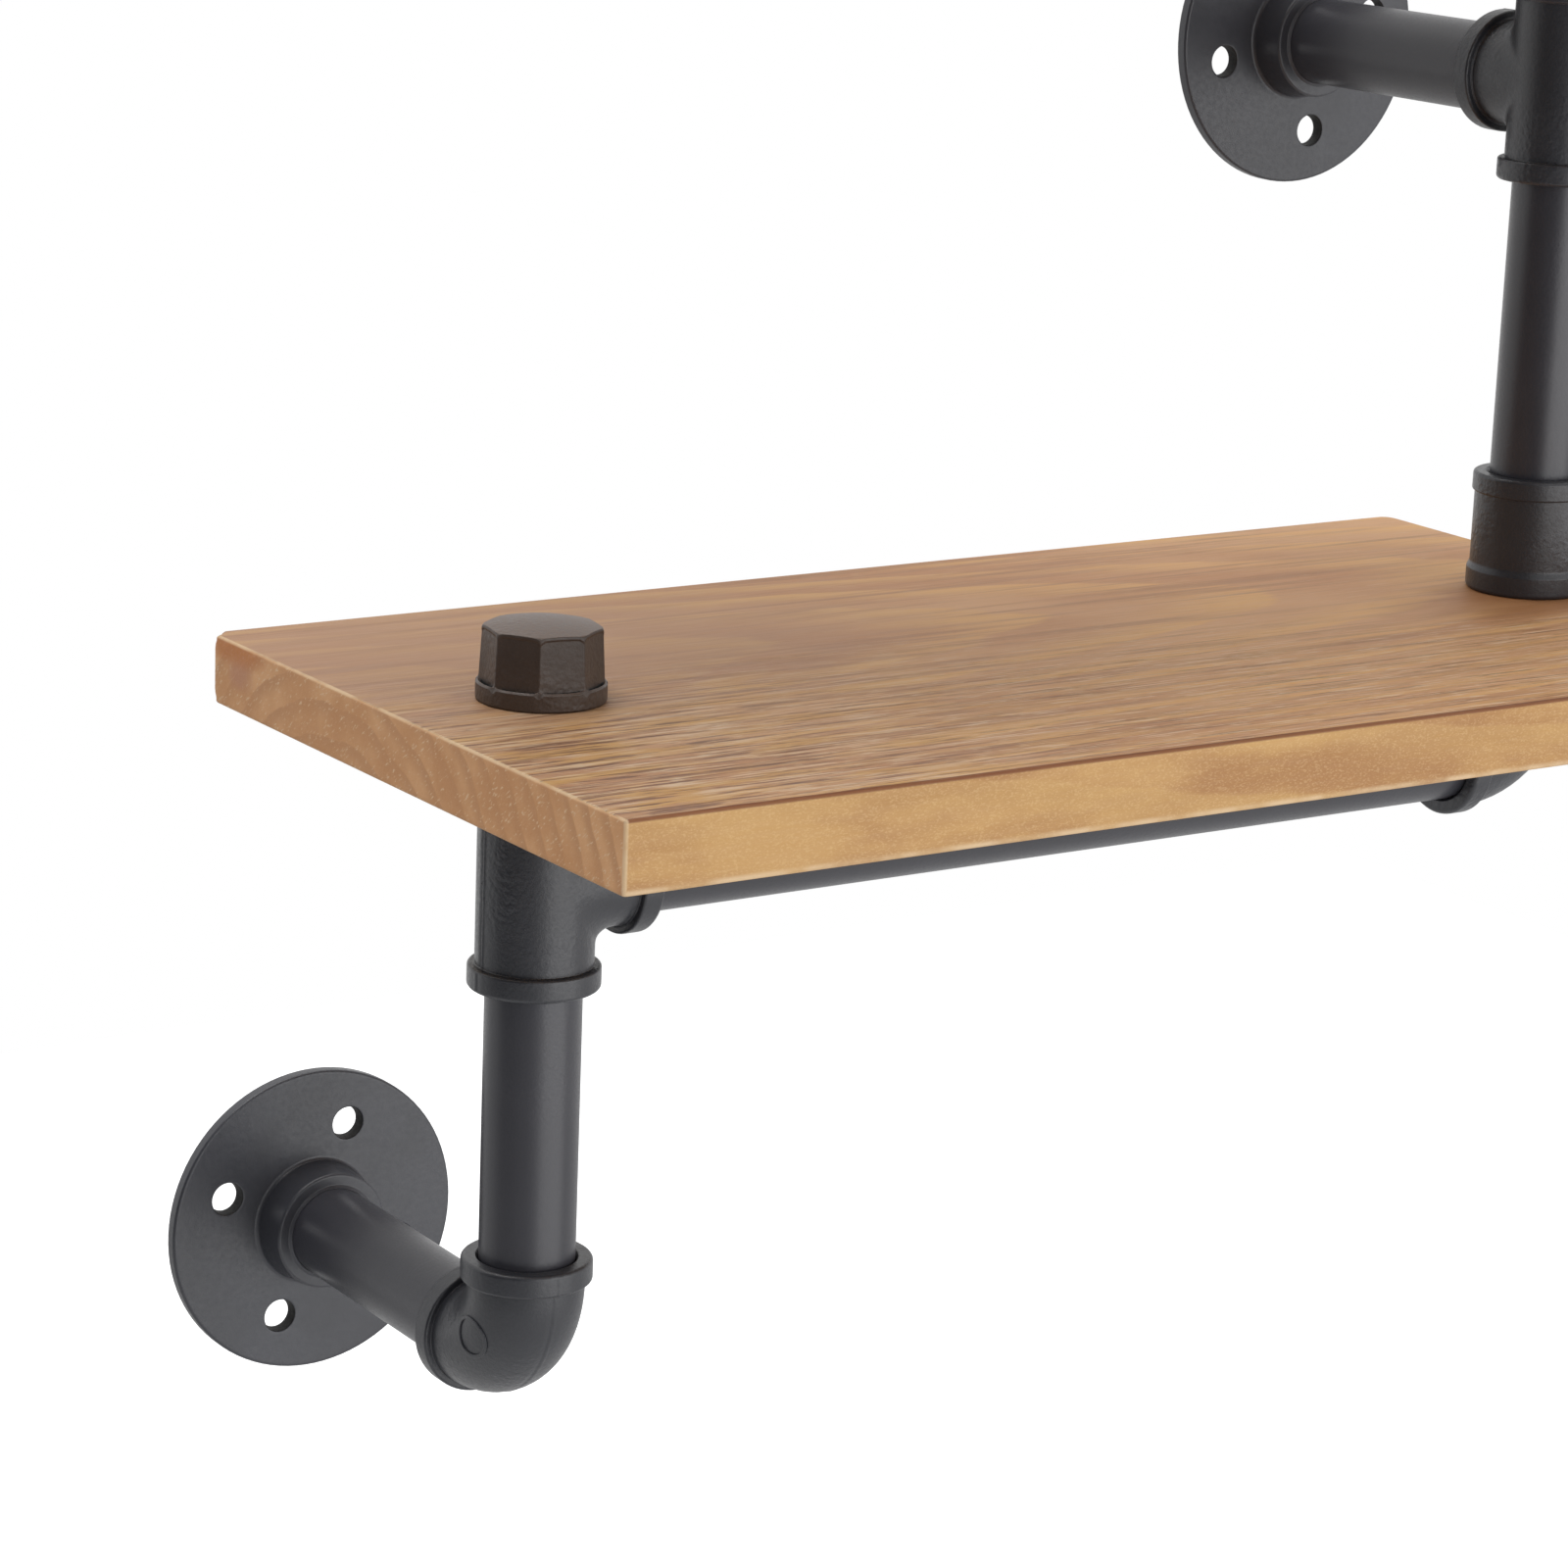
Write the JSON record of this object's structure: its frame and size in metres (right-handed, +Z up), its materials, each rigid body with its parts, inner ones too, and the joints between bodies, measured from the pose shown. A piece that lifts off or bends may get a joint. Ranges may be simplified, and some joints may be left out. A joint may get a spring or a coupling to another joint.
{
  "type": "pipe shelving unit",
  "caption": "Wall shelf unit of dark threaded pipe and cast fittings in a zigzag, carrying wooden boards between posts and screwed to the wall through round flanges.",
  "frame": {"origin": "centre of the bottom flange's back face, on the wall", "axes": "+Z up, +Y into the wall, +X from the first post line to the second; the unit stands out from the wall towards -Y"},
  "size_m": [0.4399, 0.244, 0.774],
  "materials": {
    "black_pipe": "smooth matte charcoal coating on steel pipe",
    "cast_fitting": "matte charcoal coating on fine-grained malleable cast iron",
    "dark_cap": "dark brown-black coating on coarse-grained cast iron",
    "shelf_wood": "brushed, oiled softwood with the grain along the board"
  },
  "bodies": {
    "root": {"lower_riser_pipe": "black_pipe", "upper_riser_pipe": "black_pipe", "lower_cross_pipe": "black_pipe", "upper_cross_pipe": "black_pipe", "lower_post_pipe": "black_pipe", "upper_post_pipe": "black_pipe", "lower_cap_nipple": "black_pipe", "upper_cap_nipple": "black_pipe", "lower_coupling_nipple": "black_pipe", "upper_coupling_nipple": "black_pipe", "bottom_wall_nipple": "black_pipe", "middle_wall_nipple": "black_pipe", "top_wall_nipple": "black_pipe", "wall_flanges": "cast_fitting", "wall_elbows": "cast_fitting", "shelf_elbows": "cast_fitting", "pipe_tees": "cast_fitting", "couplings": "cast_fitting", "end_caps": "dark_cap", "lower_board": "shelf_wood", "upper_board": "shelf_wood"}
  },
  "joints": []
}
